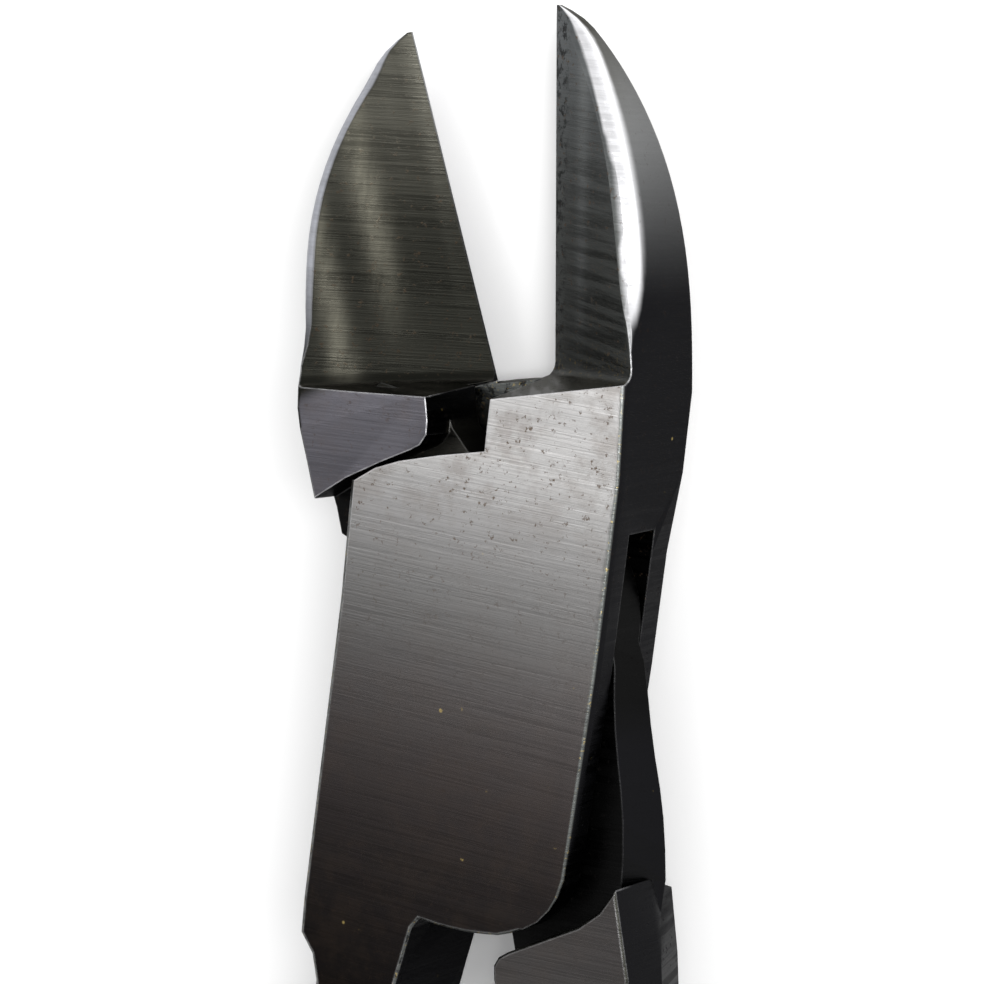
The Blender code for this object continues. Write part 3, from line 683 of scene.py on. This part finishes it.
def gripRadii(distance):
    # the guard is the collar at the top, the palm the slow swell below it
    guard = bell(distance, grips["start"] + grips["guardAt"], grips["guardLength"])
    palm = math.sin(math.pi * min(max((distance - grips["palmStart"]) / grips["palmLength"], 0), 1)) ** 2
    past = max(distance - grips["end"] + grips["endRound"], 0)
    end = math.sqrt(max(1 - (past / grips["endReach"]) ** 2, 0))
    start = mix(grips["mouthShare"], 1, ease((distance - grips["start"]) / grips["mouthRound"]))
    width = grips["halfWidth"] + grips["guardWidth"] * guard + grips["palmWidth"] * palm
    height = grips["halfThickness"] + grips["guardHeight"] * guard + grips["palmHeight"] * palm
    return width * end * start, height * end * start


def oval(side, distance, angle, halfWidth, halfHeight, power):
    centre, outward = handleFrame(side, distance)
    cos, sin = math.cos(angle), math.sin(angle)
    spot = centre + outward * (math.copysign(abs(cos) ** power, cos) * halfWidth)
    return (spot.x, spot.y, midHeight + math.copysign(abs(sin) ** power, sin) * halfHeight)


def gripSkin(side, distance, angle, grow):
    halfWidth, halfHeight = gripRadii(distance)
    return oval(side, distance, angle, halfWidth + grow, halfHeight + grow, grips["squareness"])


def addCore(side, word, body):
    # hard inner grip with a moulding seam and a mouth round the steel handle
    look, hole = coreShape, mouthHole
    around = [2 * math.pi * i / look["around"] for i in range(look["around"])]
    mouth, wide, high, flare = grips["start"], hole["halfWidth"], hole["halfHeight"], hole["flare"]
    skinStart = mouth + 0.02
    rings = [[oval(side, mouth + deep, a, wide, high, 0.4) for a in around]
             for deep in (hole["deep"], hole["rim"])]
    rings.append([oval(side, skinStart, a, wide + flare, high + flare, 0.45) for a in around])
    steps = [skinStart + look["bodyLength"] * (i / look["along"]) for i in range(look["along"] - 3)]
    steps += [mouth + past for past in (65.5, 65.9, 66.25, 66.5, 66.6)]  # closer rings at the round end
    for distance in steps:
        dent = look["grooveDepth"] * bell(distance, look["groove"], look["grooveWidth"])
        dent += look["lipDepth"] * bell(distance, mouth, look["lipWidth"])
        rings.append([gripSkin(side, distance, a, -grips["gap"] / 2 - dent
                               - look["seamDepth"] * bell(a, math.pi, look["seamWidth"])) for a in around])
    core = loft(word + "GripCore", rings)
    smoothBy(core, look["smoothAngle"])
    wear(core, coreLook)
    attach(core, body, word + "_grip_core")


def addPad(side, word, body):
    # soft outer pad with shallow ribs across it
    look, columns, rings = pads, pads["columns"], []
    for i in range(look["rows"] + 1):
        share = i / look["rows"]
        distance = mix(look["start"] + 0.02, look["end"] - 0.02, share)
        swell = math.sin(math.pi * (0.06 + 0.88 * share)) ** 0.5
        reach = look["reach"] * (0.75 + 0.25 * swell)
        low, high = look["ribMargin"], 1 - look["ribMargin"]
        ribbed = ease((share - low) / look["ribFade"]) * ease((high - share) / look["ribFade"])
        rib = ribbed * max(0.0, math.cos(2 * math.pi * (share - low) / (high - low) * look["ribs"])) ** 6
        outer = []
        for j in range(columns + 1):
            across = math.sin(math.pi * j / columns)
            height = look["edge"] + (look["thickness"] - 0.4) * swell * across ** 0.6
            height -= look["ribDepth"] * rib * ease((across - 0.25) / 0.3)
            outer.append(gripSkin(side, distance, mix(-reach, reach, j / columns), grips["gap"] / 2 + height))
        inner = [gripSkin(side, distance, mix(reach, -reach, j / columns), grips["gap"] / 2)
                 for j in range(columns + 1)]
        rings.append(outer + inner)
    pad = loft(word + "GripPad", rings)
    smoothBy(pad, look["smoothAngle"])
    wear(pad, padLook)
    attach(pad, body, word + "_grip_pad")


for side, word, body in ((-1, "left", boxSide), (1, "right", lapSide)):
    addCore(side, word, body)
    addPad(side, word, body)
print("grips made")


# floor, light and camera, in metres
studio = {"floor": (0.87, 0.87, 0.87), "floorHalf": 1.5, "floorDrop": 0.00002,
          "world": (1.0, 1.0, 1.0), "worldStrength": 0.85}
panels = {
    "overheadPanel": {"spot": (-0.22, 0.1, 0.42), "target": (0, 0, 0), "size": (0.22, 0.3), "power": 0.35},
    "sidePanel": {"spot": (0.32, 0.06, 0.3), "target": (0, 0.01, 0), "size": (0.12, 0.3), "power": 2.2},
}


def addFloor(height):
    shape = bmesh.new()
    bmesh.ops.create_grid(shape, x_segments=8, y_segments=8, size=studio["floorHalf"])
    floor = newPiece("floor", shape)
    floor.location.z = height
    material, _, shader = newMaterial("paleFloor", 0.0, 0.8)
    shader.inputs["Base Color"].default_value = (*studio["floor"], 1.0)
    wear(floor, material)
    floor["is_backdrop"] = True


def addPanel(name, spot, target, size, power):
    light = bpy.data.lights.new(name, "AREA")
    light.shape = "RECTANGLE"
    light.size, light.size_y = size
    light.energy = power
    lamp = bpy.data.objects.new(name, light)
    bpy.context.scene.collection.objects.link(lamp)
    lamp.location = spot
    lamp.rotation_euler = (Vector(target) - Vector(spot)).to_track_quat("-Z", "Y").to_euler()


addFloor(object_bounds()[0].z - studio["floorDrop"])
world = bpy.data.worlds.new("studio")
bpy.context.scene.world = world
world.use_nodes = True
background = world.node_tree.nodes["Background"]
background.inputs["Color"].default_value = (*studio["world"], 1.0)
background.inputs["Strength"].default_value = studio["worldStrength"]
for name, panel in panels.items():
    addPanel(name, **panel)

# turn, height and roll in degrees; distance, across and above in mm from the middle of the head's front
camera = {"turn": 31.5, "height": 5.6, "roll": 1.6, "distance": 150.0, "across": 0.631, "above": 5.524,
          "lens": 127.9, "sensor": 36, "nearest": 0.01}


def addCamera():
    turn, height, roll = (math.radians(camera[key]) for key in ("turn", "height", "roll"))
    back = Vector((math.sin(turn) * math.cos(height), math.sin(height), math.cos(turn) * math.cos(height)))
    level = Vector((math.cos(turn), 0, -math.sin(turn)))
    rise = back.cross(level)
    right = level * math.cos(roll) + rise * math.sin(roll)
    up = rise * math.cos(roll) - level * math.sin(roll)
    data = bpy.data.cameras.new("camera")
    data.lens = camera["lens"]
    data.sensor_width = camera["sensor"]
    data.clip_start = camera["nearest"]
    eye = bpy.data.objects.new("camera", data)
    bpy.context.scene.collection.objects.link(eye)
    front = Vector((0, 0, 2 * midHeight))
    spot = front + right * camera["across"] + up * camera["above"] + back * camera["distance"]
    eye.matrix_world = Matrix.Translation(spot * mm) @ Matrix((right, up, back)).transposed().to_4x4()
    bpy.context.scene.camera = eye


addCamera()
bpy.context.scene.view_settings.view_transform = "Standard"
print("scene ready")
